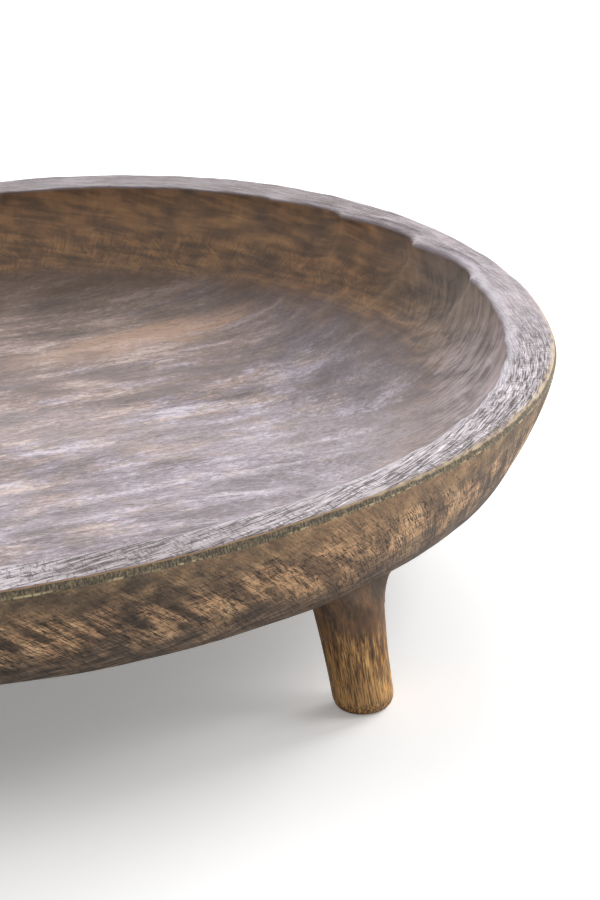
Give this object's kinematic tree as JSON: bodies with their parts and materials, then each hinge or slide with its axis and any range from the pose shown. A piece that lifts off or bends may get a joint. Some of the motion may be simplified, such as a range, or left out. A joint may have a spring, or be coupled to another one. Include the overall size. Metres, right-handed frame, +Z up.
{
  "type": "footed wooden bowl",
  "caption": "Wide shallow round bowl carved from dark hardwood, with a flat rim and short splayed peg legs.",
  "frame": {"origin": "on the floor, under the middle of the bowl", "axes": "+Z up; X roughly along the grain of the bowl's wood; the legs stand between the axes"},
  "size_m": [0.3979, 0.4035, 0.0778],
  "materials": {
    "bowl_wood": "dark stained open-grained hardwood, hand carved, rubbed with wax to a low sheen",
    "leg_wood": "dark stained hardwood with upright grain, turned and waxed, worn paler at the foot",
    "dowel_wood": "bare pale beech"
  },
  "bodies": {
    "root": {"bowl": "bowl_wood", "leg_back_right": "leg_wood", "leg_back_left": "leg_wood", "leg_front_left": "leg_wood", "leg_front_right": "leg_wood", "dowel_back_right": "dowel_wood", "dowel_back_left": "dowel_wood", "dowel_front_left": "dowel_wood", "dowel_front_right": "dowel_wood"}
  },
  "joints": []
}
